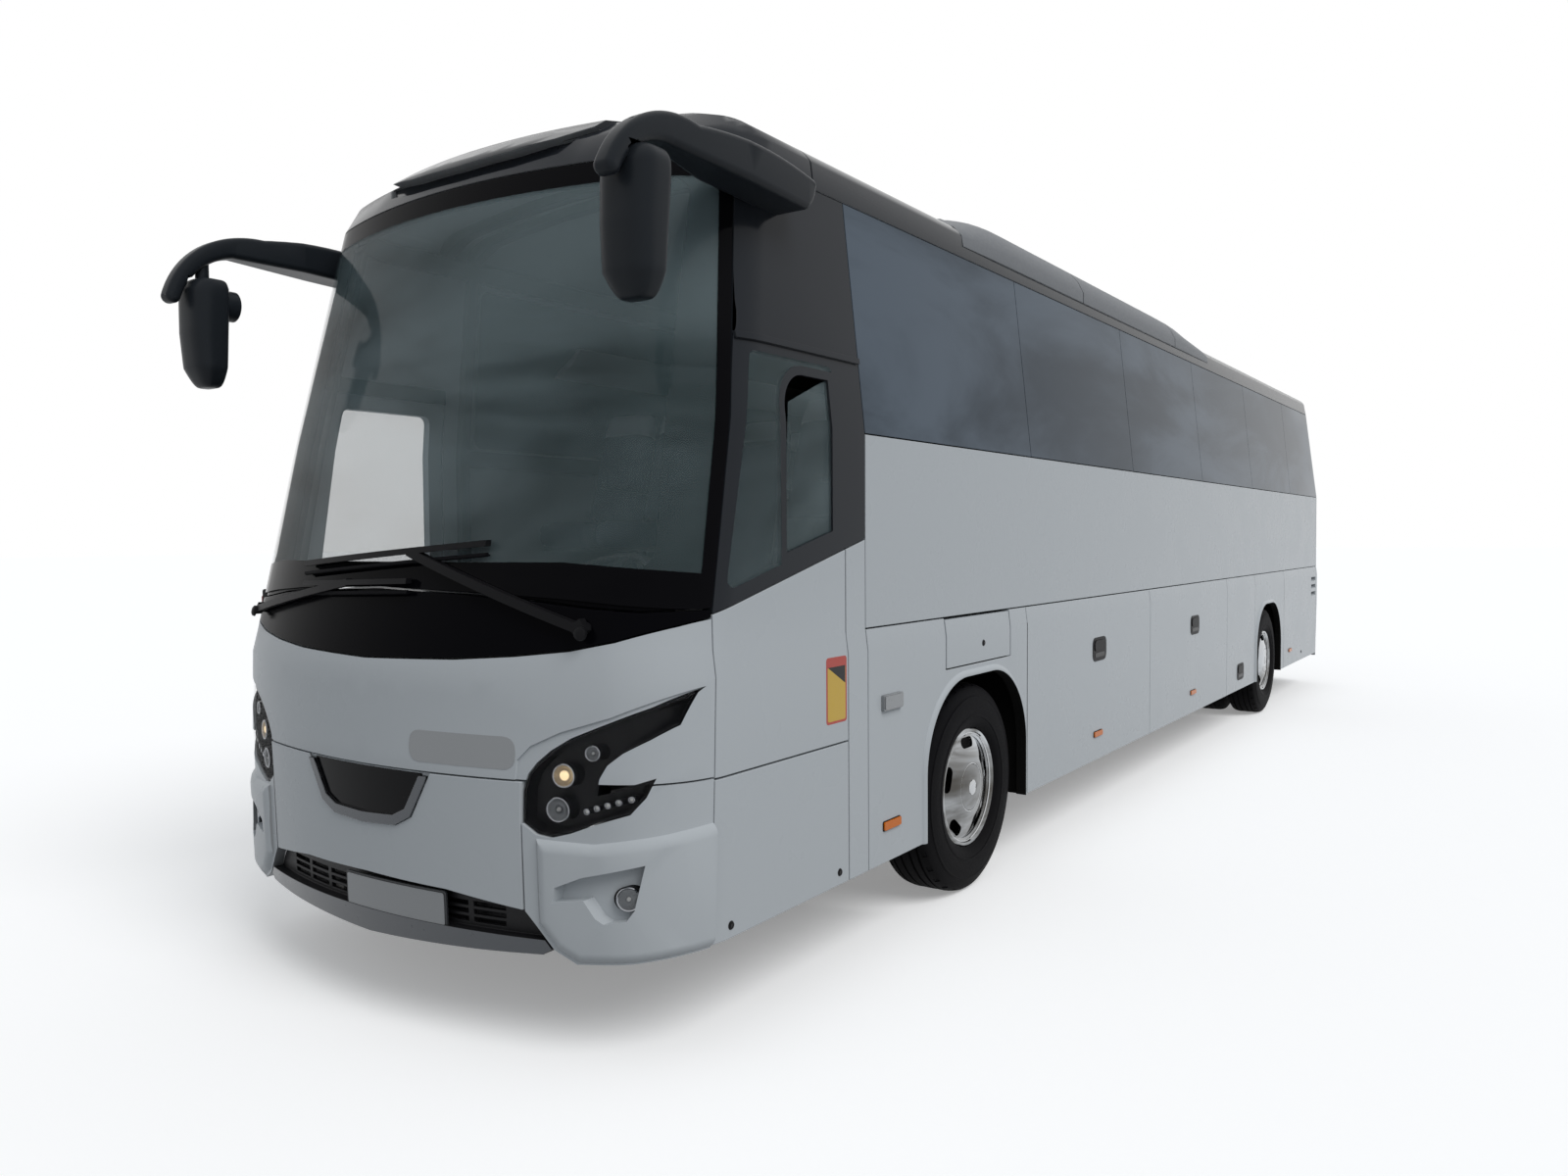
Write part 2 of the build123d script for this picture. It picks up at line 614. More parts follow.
# the badge is a raised frame round a black plate; half of each outline: across, height
BADGE_OUTLINE = ((360, FLAP_TOP), (262, 785), (180, 745), (0, 735))
BADGE_PLATE = ((318, FLAP_TOP - 4), (235, 812), (170, 782), (0, 774))
BADGE_OUT = 9
BADGE_TOP = FLAP_TOP - 11
badge_zone = front_cut(mirrored(BADGE_OUTLINE), *FRONT_BAND)
plate_zone = front_cut(mirrored(BADGE_PLATE), *FRONT_BAND)
front_flap = front_flap - (GLASS_SHELL & badge_zone)
badge = (body_form(-BADGE_OUT) - GLASS_BACK) & badge_zone & box(-WIDTH, WIDTH, *FRONT_BAND, 700, BADGE_TOP)
badge = (badge - plate_zone) + ((body_form(4) - GLASS_BACK) & plate_zone)
save("front_flap", [front_flap])
save("front_badge", [badge])

# the lower grille is a slatted plate set back above a spoiler lip
GRILLE_BACK = SKIN + 12
GRILLE_IN = 40
LIP_TOP = 405
grille_zone = front_cut(mirrored(GRILLE_OUTLINE), *FRONT_BAND)
grille = (body_form(GRILLE_IN) - body_form(GRILLE_BACK)) & grille_zone
slats = None
for low in (420, 449, 478):
    for number in range(-4, 4):
        gap = box(number * 160 + 12, number * 160 + 148, *FRONT_BAND, low, low + 17)
        slats = gap if slats is None else slats + gap
grille = grille - slats
lip_zone = grille_zone & box(-WIDTH, WIDTH, *FRONT_BAND, 300, LIP_TOP)
grille = grille + ((OUTER - body_form(GRILLE_BACK)) & lip_zone)
save("front_grille", [grille])

# the corners bulge below a rounded ledge
BULGE = 22
BULGE_ROUND = 50
BULGE_OUTLINE = (
    (775, 768),
    (987, 762),
    (1161, 790),
    (1300, 824),
    (1300, 370),
    (1106, 343),
    (925, 331),
    (845, 374),
    (775, 462),
)
PROUD = body_form(-BULGE)
bulge = (PROUD - ROOM) & AHEAD & front_cut(list(BULGE_OUTLINE), *FRONT_BAND)
outer_faces = [face for face in bulge.faces() if face.normal_at(face.center()).Y < -0.05 and face.area > 3000]
ledge_lines = []
for line in outer_faces[0].edges() + outer_faces[1].edges():
    middle = line @ 0.5
    shared = outer_faces[0].distance_to(middle) < 0.01 and outer_faces[1].distance_to(middle) < 0.01
    at_seam = middle.X > 1240 and 400 < middle.Z < 760
    if not shared and not at_seam:
        ledge_lines.append(line)
bulge = fillet(ledge_lines, BULGE_ROUND)

corner = (SKIN_SHELL & AHEAD & front_cut(list(BUMPER_OUTLINE), *FRONT_BAND)) + bulge - lamp_hole
FOG_DEPTH = 28
FOG_OUTLINE = (
    (1161, 688),
    (967, 641),
    (870, 599),
    (858, 547),
    (971, 562),
    (1009, 503),
    (1037, 486),
    (1106, 498),
    (1130, 535),
)
fog_pocket = front_cut(list(FOG_OUTLINE), *FRONT_BAND) & (PROUD - body_form(FOG_DEPTH))
fog_lamp = lengthways(1094, NOSE_Y + 160, NOSE_Y + 700, 566, 44) & (GLASS_BACK - body_form(FOG_DEPTH))
corner = corner - fog_pocket - fog_lamp
corner = corner.solids().sort_by(SortBy.VOLUME)[-1]
save("bumper_corners", both(corner))

# lamp housings: a recessed bowl with the lamp units standing in it
housing = (GLASS_BACK - body_form(LAMP_DEPTH)) & lamp_zone & AHEAD
bowl = offset(make_face(Polyline(*LAMP_OUTLINE, close=True)), amount=-8, kind=Kind.INTERSECTION)
bowl = Pos(0, FRONT_BAND[0], 0) * (Plane.XZ * bowl)
bowl = extrude(bowl, amount=FRONT_BAND[1] - FRONT_BAND[0], dir=(0, 1, 0))
housing = housing - (bowl & (GLASS_BACK - body_form(LAMP_DEPTH - 10)))
# across, height, radius
LAMP_UNITS = (
    (885, 978, 44),
    (862, 860, 46),
    (985, 1058, 30),
    (960, 858, 12),
    (995, 871, 12),
    (1031, 882, 12),
    (1065, 893, 12),
    (1101, 903, 12),
)
unit_zone = None
for lamp_x, lamp_z, radius in LAMP_UNITS:
    unit = lengthways(lamp_x, FRONT_BAND[0], FRONT_BAND[1], lamp_z, radius)
    unit_zone = unit if unit_zone is None else unit_zone + unit
housing = housing + (unit_zone & (body_form(24) - body_form(LAMP_DEPTH - 2)))
save("front_lamps", both(housing) + both(fog_lamp))

# ---------------------------------------------------------------- windscreen
SCREEN_HOLE = ((-1120, 1660), (-700, 1700), (700, 1700), (1120, 1660), (1035, 3090), (-1035, 3090))
screen_frame = (FRAME_SHELL & AHEAD & screen_zone) - front_cut(list(SCREEN_HOLE), *FRONT_BAND, round_by=70)
cowl = SKIN_SHELL & AHEAD & cowl_zone
save("windscreen_frame", [screen_frame, cowl])
save("windscreen", [GLASS_SHELL & AHEAD & screen_zone])

# wipers lie along the glass: each is a strip between two points, across and height
WIPER_STRIPS = (
    ((960, 1462), (930, 1500), 40),
    ((945, 1478), (180, 1738), 30),
    ((540, 1768), (-500, 1690), 22),
    ((-985, 1480), (-960, 1505), 36),
    ((-970, 1492), (-150, 1622), 28),
    ((-480, 1612), (200, 1632), 20),
)
WIPER_OUT = 38
WIPER_IN = 12
strip_layer = body_form(-WIPER_OUT) - body_form(-WIPER_IN)


def strip_zone(start, end, width):
    run = math.hypot(end[0] - start[0], end[1] - start[1])
    side = ((start[1] - end[1]) / run * width / 2, (end[0] - start[0]) / run * width / 2)
    corners = [
        (start[0] + side[0], start[1] + side[1]),
        (end[0] + side[0], end[1] + side[1]),
        (end[0] - side[0], end[1] - side[1]),
        (start[0] - side[0], start[1] - side[1]),
    ]
    return front_cut(corners, NOSE_Y - 100, NOSE_Y + 900)


left_wiper = None
for number, (start, end, width) in enumerate(WIPER_STRIPS[:3]):
    bar = strip_layer & strip_zone(start, end, width)
    left_wiper = bar if left_wiper is None else left_wiper + bar
right_wiper = None
for start, end, width in WIPER_STRIPS[3:]:
    bar = strip_layer & strip_zone(start, end, width)
    right_wiper = bar if right_wiper is None else right_wiper + bar
pivot_layer = body_form(-WIPER_OUT) - OUTER
left_wiper = left_wiper + (lengthways(945, *FRONT_BAND, 1478, 20) & pivot_layer)
right_wiper = right_wiper + (lengthways(-972, *FRONT_BAND, 1492, 18) & pivot_layer)
save("wipers", [left_wiper, right_wiper])

# ---------------------------------------------------------------- roof
ROOF_Z = WINDOW_TOP + SEAM / 2
CAP_REAR_Y = FRONT_AXLE_Y - 1300
roof = SKIN_SHELL & box(-WIDTH, WIDTH, CAP_REAR_Y + SEAM / 2, TAIL_Y, ROOF_Z, ROOF_HEIGHT + 50)
cap = SKIN_SHELL & box(-WIDTH, WIDTH, NOSE_Y, CAP_REAR_Y - SEAM / 2, ROOF_Z, ROOF_HEIGHT + 50)
# the cap has a brow, moved forward from the roof's own form, over a long air slot: across, height
BROW_OUT = 40
SLOT_DEPTH = 22
BROW_LINE = ((0, 3262), (300, 3272), (480, 3296), (600, 3345))
SLOT_LINE = ((0, 3205), (300, 3214), (500, 3240), (560, 3300))
brow_outline = [(-x, z) for x, z in reversed(BROW_LINE[1:])] + list(BROW_LINE)
brow_outline += [(600, ROOF_HEIGHT + 50), (-600, ROOF_HEIGHT + 50)]
brow = (Pos(0, -BROW_OUT, 0) * OUTER - ROOM) & front_cut(brow_outline, NOSE_Y, CAP_REAR_Y - SEAM / 2)
slot = front_cut(list(BROW_LINE[:-1]) + list(reversed(SLOT_LINE)), *FRONT_BAND)
slot = slot & (OUTER - body_form(SLOT_DEPTH))
cap = (cap - slot - slot.mirror(Plane.YZ)) + brow
save("roof", [roof])
save("roof_cap", [cap])

# ---------------------------------------------------------------- the frame of hoops behind the skin
FRAME_LAYER = ROOM - body_form(SKIN + FRAME_DEPTH)
HOOP = 30
RING_HALF = 45
sill_ring = box(-WIDTH, WIDTH, PILLAR_REAR_Y - 60, TAIL_Y, WINDOW_SILL - RING_HALF, WINDOW_SILL + RING_HALF)
sill_ring = sill_ring - box(-WIDTH, -900, SEAM_3 - 20, SEAM_4 + 20, 0, WINDOW_SILL + 8)
top_ring = box(-WIDTH, WIDTH, NOSE_Y, TAIL_Y, ROOF_Z - RING_HALF, ROOF_Z + RING_HALF)
mask_ring = box(-WIDTH, WIDTH, NOSE_Y, TAIL_Y, 1290, 1410) & AHEAD
cap_hoop = box(-WIDTH, WIDTH, CAP_REAR_Y - HOOP, CAP_REAR_Y + HOOP, ROOF_Z, ROOF_HEIGHT)
seam_line = [(seam_place(1300), 1300)] + mask_seam(0)[1:]


def along_seam(ahead, behind, x0, x1):
    # a slab that follows the mask's seam, from its front edge to its rear edge
    edge = [(y + ahead, z) for y, z in seam_line]
    return side_cut(edge + [(y + behind, z) for y, z in reversed(seam_line)], x0, x1)


seam_post = along_seam(-60, 0, -WIDTH, WIDTH)
seam_back = along_seam(-5, 45, 0, WIDTH)
hoop_zone = sill_ring + top_ring + mask_ring + cap_hoop + seam_post + seam_back
for hoop_y in [PILLAR_REAR_Y - 40] + PANE_ENDS[1:-1] + [SEAM_6 + 20]:
    hoop_zone = hoop_zone + box(-WIDTH, WIDTH, hoop_y - HOOP, hoop_y + HOOP, FLOOR_TOP, ROOF_HEIGHT)
frame = FRAME_LAYER & hoop_zone
# struts down from the ring behind the mask to the lamps
strut = (body_form(LAMP_DEPTH) - body_form(LAMP_DEPTH + STRUT_DEPTH)) & front_cut(
    [(860, 830), (940, 830), (940, 1330), (860, 1330)], *FRONT_BAND
)
frame = frame + strut + strut.mirror(Plane.YZ)
save("body_frame", [frame])

# the cooler on the roof: its form along the bus, place and height
POD_FRONT = FRONT_AXLE_Y + 100
POD_LENGTH = 4800
POD_HEIGHT = 250
POD_HALF = 900
pod_side = side_cut(
    [
        (POD_FRONT, ROOF_HEIGHT - 90),
        (POD_FRONT + 120, ROOF_HEIGHT - 10),
        (POD_FRONT + 420, ROOF_HEIGHT + 75),
        (POD_FRONT + 1000, ROOF_HEIGHT + 165),
        (POD_FRONT + 1800, ROOF_HEIGHT + 230),
        (POD_FRONT + 2600, ROOF_HEIGHT + POD_HEIGHT),
        (POD_FRONT + 3400, ROOF_HEIGHT + POD_HEIGHT),
        (POD_FRONT + POD_LENGTH - 500, ROOF_HEIGHT + 150),
        (POD_FRONT + POD_LENGTH, ROOF_HEIGHT - 20),
        (POD_FRONT + POD_LENGTH, ROOF_HEIGHT - 90),
    ],
    -POD_HALF,
    POD_HALF,
)
pod_edge = (POD_HALF, ROOF_HEIGHT - 10)
pod_bend = (POD_HALF - 100, ROOF_HEIGHT + 85)
pod_shoulder = (POD_HALF - 300, ROOF_HEIGHT + 175)
pod_foot = ROOF_HEIGHT - 100
pod_front = Polyline((-POD_HALF, pod_edge[1]), (-POD_HALF, pod_foot), (POD_HALF, pod_foot), pod_edge)
pod_front += ThreePointArc(pod_edge, pod_bend, pod_shoulder)
pod_front += ThreePointArc(pod_shoulder, (0, ROOF_HEIGHT + POD_HEIGHT), (-pod_shoulder[0], pod_shoulder[1]))
pod_far_bend = (-pod_bend[0], pod_bend[1])
pod_front += ThreePointArc((-pod_shoulder[0], pod_shoulder[1]), pod_far_bend, (-POD_HALF, pod_edge[1]))
pod_front = Pos(0, POD_FRONT - 50, 0) * (Plane.XZ * make_face(pod_front))
pod_front = extrude(pod_front, amount=POD_LENGTH + 100, dir=(0, 1, 0))
pod = (pod_side & pod_front) - OUTER
POD_SEAMS = (1740, 3800)
for seam in POD_SEAMS:
    pod = pod - box(-WIDTH, WIDTH, POD_FRONT + seam, POD_FRONT + seam + 8, pod_foot, ROOF_HEIGHT + 300)
save("roof_cooler", [pod])
HATCHES = (FRONT_AXLE_Y - 900, REAR_AXLE_Y + 300)
hatches = []
for hatch_y in HATCHES:
    hatch = box(-420, 420, hatch_y, hatch_y + 700, ROOF_HEIGHT - 80, ROOF_HEIGHT + 30)
    hatch = fillet(hatch.edges().filter_by(Axis.Z), 60)
    hatches.append(hatch - OUTER)
save("roof_hatches", hatches)

# ---------------------------------------------------------------- rear
REAR_BUMPER_TOP = 590
LID_TOP = 1380
LID_HALF = 900
rear_zone = box(-WIDTH, WIDTH, SEAM_6 + SEAM / 2, TAIL_Y + 50, REAR_BUMPER_TOP + SEAM, BAND[1])
rear_skin = SKIN_SHELL & rear_zone
rear_skin = rear_skin - box(-WIDTH, WIDTH, SEAM_6, PANE_ENDS[-1] + SEAM / 2, BAND[0] - SEAM, BAND[1] + 5)
lid_hole = box(-LID_HALF, LID_HALF, TAIL_Y - 400, TAIL_Y + 50, 200, LID_TOP)
glass_hole = front_cut(
    [(-1000, 2330), (1000, 2330), (950, 3060), (-950, 3060)], TAIL_Y - 400, TAIL_Y + 50, round_by=80
)
rear_pane = GLASS_SHELL & glass_hole
LAMP_BOTTOM = 700
LAMP_TOP = 1300
rear_lamp_hole = box(LID_HALF + 80, LID_HALF + 230, TAIL_Y - 300, TAIL_Y + 50, LAMP_BOTTOM, LAMP_TOP)
rear_layer = OUTER - body_form(30)
REAR_BAND = (TAIL_Y - 300, TAIL_Y + 50)
rear_lamps = rear_layer & box(LID_HALF + 84, LID_HALF + 226, *REAR_BAND, LAMP_BOTTOM + 4, LAMP_TOP - 4)
rear_lamp_pocket = rear_lamp_hole & rear_layer
rear_wall = rear_skin - lid_hole - glass_hole - rear_lamp_pocket - rear_lamp_pocket.mirror(Plane.YZ)
save("rear_wall", [rear_wall])
save("rear_lamps", both(rear_lamps))
save("window_glass", panes + [pane.mirror(Plane.YZ) for pane in panes] + [cab_pane, sliding_pane, rear_pane])
engine_lid = SKIN_SHELL & box(
    -LID_HALF + SEAM, LID_HALF - SEAM, TAIL_Y - 400, TAIL_Y + 50, REAR_BUMPER_TOP + SEAM, LID_TOP - LID_GAP
)
for number in range(6):
    low = 960 + 52 * number
    slot = [(TAIL_Y - 80, low + 20), (TAIL_Y + 20, low), (TAIL_Y + 20, low + 26), (TAIL_Y - 80, low + 46)]
    engine_lid = engine_lid - side_cut(slot, -600, 600)
save("engine_lid", [engine_lid])
bumper_front = SEAM_6 + SEAM / 2
rear_bumper = SKIN_SHELL & box(-WIDTH, WIDTH, bumper_front, TAIL_Y + 50, SILL_HEIGHT - 30, REAR_BUMPER_TOP)
save("rear_bumper", [rear_bumper])

# ---------------------------------------------------------------- mirrors
# A moulded arm runs forward along each front post and bends down over the mirror's head.
ARM_FRONT = NOSE_Y - MIRROR_REACH
ARM_INNER = 1150
ARM_SPAN = 200
ARM_EDGE = 25
HEAD_X = 1262
HEAD_BACK = 170
HEAD_Z = 2765
HEAD_EDGE = 16
RIGHT_DROP = 80
DRUM_RADIUS = 66


def arm_point(back, height):
    return (ARM_FRONT + back, height)


def mirror_arm(drop):
    # the side view cut to the plan view; the drop lowers the front end to its head
    side = ThreePointArc(arm_point(1120, 3125), arm_point(780, 3160), arm_point(430, 3138))
    side += ThreePointArc(arm_point(430, 3138), arm_point(110, 3060 - drop / 2), arm_point(0, 2915 - drop))
    side += ThreePointArc(arm_point(0, 2915 - drop), arm_point(22, 2880 - drop), arm_point(60, 2900 - drop))
    side += ThreePointArc(arm_point(60, 2900 - drop), arm_point(140, 2990 - drop / 2), arm_point(300, 3035))
    side += Line(arm_point(300, 3035), arm_point(1060, 3005))
    side += ThreePointArc(arm_point(1060, 3005), arm_point(1105, 3050), arm_point(1120, 3125))
    side = Pos(ARM_INNER - 50, 0, 0) * (Plane.YZ * make_face(side))
    # across, back from the front end
    plan = (
        (ARM_INNER, 1150),
        (ARM_INNER, 600),
        (HEAD_X - 50, 300),
        (HEAD_X - 40, -10),
        (HEAD_X + 40, -10),
        (HEAD_X + 48, 300),
        (ARM_INNER + ARM_SPAN - 20, 700),
        (ARM_INNER + ARM_SPAN - 24, 1150),
    )
    plan = make_face(Polyline(*[(x, ARM_FRONT + back) for x, back in plan], close=True))
    plan = extrude(Pos(0, 0, WINDOW_SILL) * plan, amount=ROOF_HEIGHT - WINDOW_SILL, dir=(0, 0, 1))
    arm = extrude(side, amount=ARM_SPAN + 100, dir=(1, 0, 0)) & plan
    return fillet(arm.edges(), ARM_EDGE)


def mirror_head(drop):
    # seen from ahead it narrows downwards, seen from the side its front face curves back
    ahead = (
        (-100, 205),
        (-70, 235),
        (70, 235),
        (100, 190),
        (72, -170),
        (45, -235),
        (-70, -235),
        (-100, -160),
    )
    aside = (
        (-70, 180),
        (-50, 235),
        (60, 235),
        (70, 200),
        (45, -235),
        (-20, -235),
        (-62, -160),
        (-75, 0),
    )
    ahead = Pos(0, -200, 0) * (Plane.XZ * make_face(Polyline(*ahead, close=True)))
    aside = Pos(-200, 0, 0) * (Plane.YZ * make_face(Polyline(*aside, close=True)))
    head = extrude(ahead, amount=400, dir=(0, 1, 0)) & extrude(aside, amount=400, dir=(1, 0, 0))
    head = fillet(head.edges(), HEAD_EDGE)
    return Pos(HEAD_X, ARM_FRONT + HEAD_BACK, HEAD_Z - drop) * head


def mirror(drop):
    # a short neck ties the head to the arm above it
    neck = upright(HEAD_X, ARM_FRONT + HEAD_BACK, HEAD_Z + 200 - drop, HEAD_Z + 320 - drop / 2, 28)
    return (mirror_arm(drop) - OUTER) + mirror_head(drop) + neck


# the right one hangs lower and carries a small round mirror behind it
drum = Cylinder(DRUM_RADIUS, 70) - Pos(0, 0, 35) * Cylinder(DRUM_RADIUS - 8, 16)
drum = Pos(HEAD_X - 50, ARM_FRONT + HEAD_BACK + 75, HEAD_Z - RIGHT_DROP + 130) * Rot(-90, 0, 25) * drum
right_mirror = (mirror(RIGHT_DROP) + drum).mirror(Plane.YZ)
save("mirrors", [mirror(0), right_mirror])

# ---------------------------------------------------------------- floors, boxes and bays inside


def wheel_house(axle_y, half, rail_top):
    # an open box over the wheel with a gap at its inner side for the axle and the rail
    house = box(BOX_INNER - BOX_PLATE, SIDE_X, axle_y - half, axle_y + half, SILL_HEIGHT, BOX_TOP)
    front = axle_y - half + BOX_PLATE
    rear = axle_y + half - BOX_PLATE
    house = house - box(BOX_INNER, WIDTH, front, rear, 0, BOX_TOP - BOX_PLATE)
    return house - box(0, BOX_INNER, front, rear, 0, rail_top - RAIL_DEPTH)


REAR_BOX_HALF = 595
wheel_box = wheel_house(FRONT_AXLE_Y, BOX_HALF, HIGH_RAIL_TOP)
rear_box = wheel_house(REAR_AXLE_Y, REAR_BOX_HALF, REAR_RAIL_TOP)
ROOM_BLOCK = box(0, SIDE_X - SKIN, NOSE_Y, TAIL_Y, 0, BOX_TOP)
save("wheel_boxes", both(wheel_box & ROOM_BLOCK) + both(rear_box & ROOM_BLOCK))

saloon = box(-WIDTH, WIDTH, PILLAR_REAR_Y, TAIL_Y, FLOOR_TOP - PLATE, FLOOR_TOP) & ROOM
lamp_room = body_form(LAMP_DEPTH + STRUT_DEPTH + 2)
riser = box(-WIDTH, WIDTH, PILLAR_REAR_Y - PLATE, PILLAR_REAR_Y, CAB_FLOOR_TOP - PLATE, FLOOR_TOP) & ROOM
cab_floor = box(-700, 700, NOSE_Y, PILLAR_REAR_Y - PLATE, CAB_FLOOR_TOP - PLATE, CAB_FLOOR_TOP) & ROOM
cab_layer = (CAB_FLOOR_TOP - PLATE, CAB_FLOOR_TOP)
cab_seam = seam_place(CAB_FLOOR_TOP)
cab_floor = cab_floor + (box(-WIDTH, WIDTH, NOSE_Y, cab_seam + 60, *cab_layer) & lamp_room)
cab_floor = cab_floor + (box(-WIDTH, WIDTH, cab_seam + 40, PILLAR_REAR_Y, *cab_layer) & ROOM)
WELL_X = -(SIDE_X - SKIN - 30)
WELL_INNER = -(RAIL_IN + RAIL_WIDTH + 20)
front_well = (seam_place(400) + 40, CAB_REAR_Y + 30)
mid_well = (SEAM_3 + 40, SEAM_4 - 40)
floor = saloon + riser + cab_floor
floor = floor - box(-WIDTH, WELL_INNER, front_well[0], front_well[1], 0, CAB_FLOOR_TOP + 1)
floor = floor - box(-WIDTH, WELL_INNER, mid_well[0], mid_well[1], FLOOR_TOP - PLATE - 1, FLOOR_TOP + 1)


def stairs(y0, y1, top, count):
    # treads and risers climbing from the door inwards, closed by a wall at each end
    rise = (top - SILL_HEIGHT - PLATE) / count
    run = (WELL_INNER - WELL_X) / count
    flight = None
    for number in range(count):
        x0 = WELL_X + run * number
        z1 = SILL_HEIGHT + PLATE + rise * number
        tread = box(x0, x0 + run, y0, y1, z1 - PLATE, z1)
        back = box(x0 + run - PLATE, x0 + run, y0, y1, z1 - PLATE, z1 + rise)
        flight = tread + back if flight is None else flight + tread + back
    for wall_y in (y0 - PLATE, y1):
        flight = flight + box(WELL_X, WELL_INNER, wall_y, wall_y + PLATE, SILL_HEIGHT, top)
    return flight


floor = floor + stairs(front_well[0], front_well[1], CAB_FLOOR_TOP, 3)
floor = floor + stairs(mid_well[0], mid_well[1], FLOOR_TOP, 4)
floor = floor + front_post + mid_post
save("floor", [floor])

# luggage bays between the wheels
BAY_HALF = SIDE_X - SKIN - 12
BAY_FRONT = FRONT_AXLE_Y + BOX_HALF + 126
bays = box(-BAY_HALF, BAY_HALF, BAY_FRONT, SEAM_3 - 20, LOW_RAIL_TOP, BAY_FLOOR_TOP)
for wall_y in (BAY_FRONT, SEAM_2 - PLATE / 2, SEAM_3 - 20 - PLATE):
    bays = bays + box(-BAY_HALF, BAY_HALF, wall_y, wall_y + PLATE, LOW_RAIL_TOP, FLOOR_TOP - PLATE)
save("luggage_bays", [bays])

# two rails along the bus, stepped up over each axle, tied by cross members
rail_front = NOSE_Y + 260
rail_rear = TAIL_Y - 330
rail_line = [
    (rail_front, HIGH_RAIL_TOP - RAIL_DEPTH),
    (rail_front, HIGH_RAIL_TOP),
    (BAY_FRONT, HIGH_RAIL_TOP),
    (BAY_FRONT, LOW_RAIL_TOP),
    (SEAM_3 + 100, LOW_RAIL_TOP),
    (SEAM_4 - 150, REAR_RAIL_TOP),
    (rail_rear, REAR_RAIL_TOP),
    (rail_rear, REAR_RAIL_TOP - RAIL_DEPTH),
    (SEAM_4 - 80, REAR_RAIL_TOP - RAIL_DEPTH),
    (SEAM_3 + 160, LOW_RAIL_TOP - RAIL_DEPTH),
    (BAY_FRONT - 120, LOW_RAIL_TOP - RAIL_DEPTH),
    (BAY_FRONT - 120, HIGH_RAIL_TOP - RAIL_DEPTH),
]
rail = side_cut(rail_line, RAIL_IN, RAIL_IN + RAIL_WIDTH)
chassis = rail + rail.mirror(Plane.YZ)
box_reach = BOX_INNER - BOX_PLATE
# cross members: place, half width, bottom, top
CROSS_MEMBERS = (
    (rail_front + 40, 960, HIGH_RAIL_TOP - RAIL_DEPTH, HIGH_RAIL_TOP),
    (FRONT_AXLE_Y - BOX_HALF + 60, box_reach, HIGH_RAIL_TOP - RAIL_DEPTH, HIGH_RAIL_TOP),
    (FRONT_AXLE_Y + BOX_HALF - 60, box_reach, HIGH_RAIL_TOP - RAIL_DEPTH, HIGH_RAIL_TOP),
    (SEAM_2, RAIL_IN + RAIL_WIDTH, LOW_RAIL_TOP - RAIL_DEPTH, LOW_RAIL_TOP),
    (REAR_AXLE_Y - REAR_BOX_HALF + 60, box_reach, REAR_RAIL_TOP - RAIL_DEPTH, REAR_RAIL_TOP),
    (REAR_AXLE_Y + REAR_BOX_HALF - 60, box_reach, REAR_RAIL_TOP - RAIL_DEPTH, REAR_RAIL_TOP),
    (rail_rear - 40, 760, REAR_RAIL_TOP - RAIL_DEPTH, REAR_RAIL_TOP),
)
for member_y, half, low, high in CROSS_MEMBERS:
    chassis = chassis + box(-half, half, member_y - 30, member_y + 30, low, high)
# towing eye with a cross bolt under each end of the frame
TOW_BORE = 22
TOW_EAR = 60
tow_y = rail_rear + 60
tow = box(RAIL_IN, RAIL_IN + 60, rail_rear - 60, tow_y, 560, REAR_RAIL_TOP - RAIL_DEPTH)
tow = tow + box(RAIL_IN, RAIL_IN + 60, rail_rear - 60, tow_y + 60, 560, 660)
tow = tow - across(RAIL_IN - 20, RAIL_IN + 80, tow_y, 610, TOW_BORE)
chassis = chassis + tow
# jacking pads under the rails
for pad_y in (BAY_FRONT + 300, SEAM_3 - 400):
    rail_low = LOW_RAIL_TOP - RAIL_DEPTH
    pad = box(RAIL_IN - 20, RAIL_IN + RAIL_WIDTH + 20, pad_y - 60, pad_y + 60, rail_low - 20, rail_low)
    chassis = chassis + pad + pad.mirror(Plane.YZ)
# legs up to the floor behind each axle's boxes
legs = (
    (rail_front + 40, HIGH_RAIL_TOP),
    (REAR_AXLE_Y - REAR_BOX_HALF - 60, REAR_RAIL_TOP),
    (rail_rear - 40, REAR_RAIL_TOP),
)
for leg_y, low in legs:
    top = CAB_FLOOR_TOP - PLATE if leg_y < FRONT_AXLE_Y else FLOOR_TOP - PLATE
    leg = box(RAIL_IN, RAIL_IN + RAIL_WIDTH, leg_y - 30, leg_y + 30, low, top)
    chassis = chassis + leg + leg.mirror(Plane.YZ)
# hangers that carry the bumpers and the grille
hanger = box(900, 960, NOSE_Y, rail_front + 70, 600, HIGH_RAIL_TOP - RAIL_DEPTH + 20) & ROOM
chassis = chassis + hanger + hanger.mirror(Plane.YZ)
hanger = box(250, 310, NOSE_Y, rail_front + 20, 380, 440) & body_form(SKIN + 12)
hanger = hanger + box(250, 310, rail_front - 40, rail_front + 20, 380, HIGH_RAIL_TOP - RAIL_DEPTH + 20)
chassis = chassis + hanger + hanger.mirror(Plane.YZ)
hanger = box(640, 700, rail_rear - 60, TAIL_Y, 440, 500) & ROOM
hanger = hanger + box(640, 700, rail_rear - 60, rail_rear, 440, REAR_RAIL_TOP - RAIL_DEPTH + 20)
chassis = chassis + hanger + hanger.mirror(Plane.YZ)
